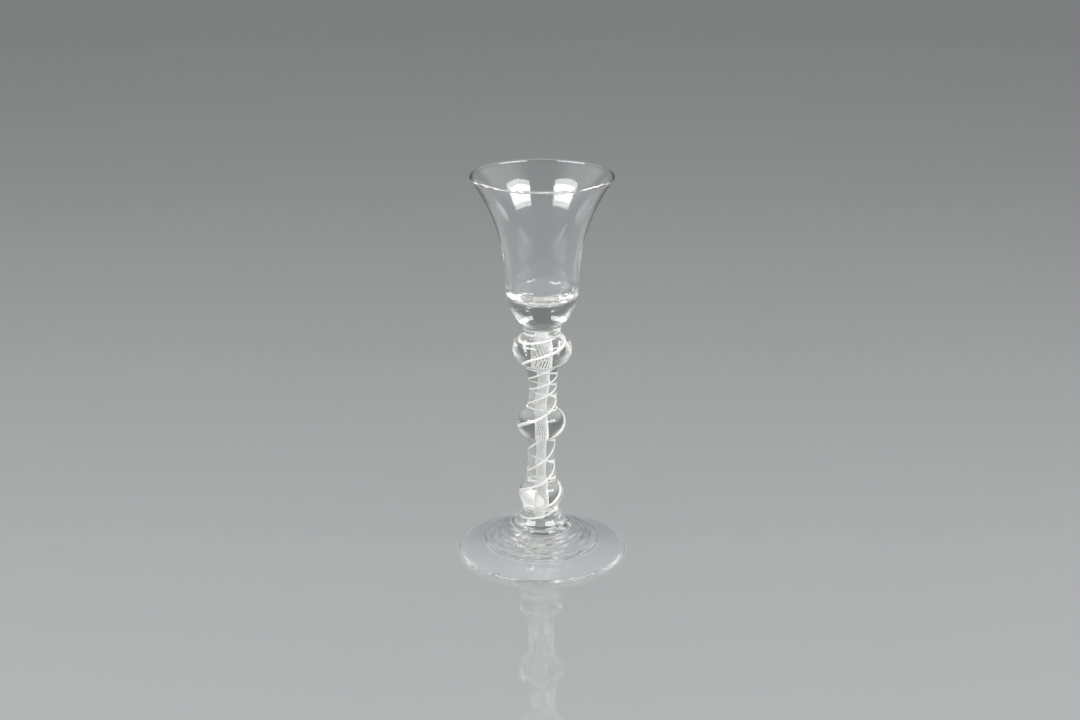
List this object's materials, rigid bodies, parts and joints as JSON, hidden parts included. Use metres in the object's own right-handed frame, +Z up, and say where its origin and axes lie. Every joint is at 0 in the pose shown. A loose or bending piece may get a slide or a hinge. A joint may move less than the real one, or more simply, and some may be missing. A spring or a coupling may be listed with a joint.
{
  "type": "opaque twist wine glass",
  "caption": "Small stemmed drinking glass with a bell bowl, a knopped stem holding twisted white enamel threads in clear glass, and a conical foot.",
  "frame": {"origin": "on the table plane, at the middle of the foot", "axes": "+Z up along the stem to the rim; the front of the glass faces -Y"},
  "size_m": [0.074, 0.074, 0.17],
  "materials": {
    "clear_glass": "fire-polished clear lead glass",
    "white_enamel": "opaque white enamel glass, smooth"
  },
  "bodies": {
    "root": {"foot": "clear_glass", "bowl": "clear_glass", "outer_casing": "clear_glass", "inner_casing": "clear_glass", "core_rod": "clear_glass", "outer_thread_1": "white_enamel", "outer_thread_2": "white_enamel", "gauze_thread_01": "white_enamel", "gauze_thread_02": "white_enamel", "gauze_thread_03": "white_enamel", "gauze_thread_04": "white_enamel", "gauze_thread_05": "white_enamel", "gauze_thread_06": "white_enamel", "gauze_thread_07": "white_enamel", "gauze_thread_08": "white_enamel", "gauze_thread_09": "white_enamel", "gauze_thread_10": "white_enamel", "gauze_thread_11": "white_enamel", "gauze_thread_12": "white_enamel", "gauze_thread_13": "white_enamel", "gauze_thread_14": "white_enamel", "gauze_thread_15": "white_enamel", "gauze_thread_16": "white_enamel", "gauze_thread_17": "white_enamel", "gauze_thread_18": "white_enamel", "gauze_thread_19": "white_enamel", "gauze_thread_20": "white_enamel"}
  },
  "joints": []
}
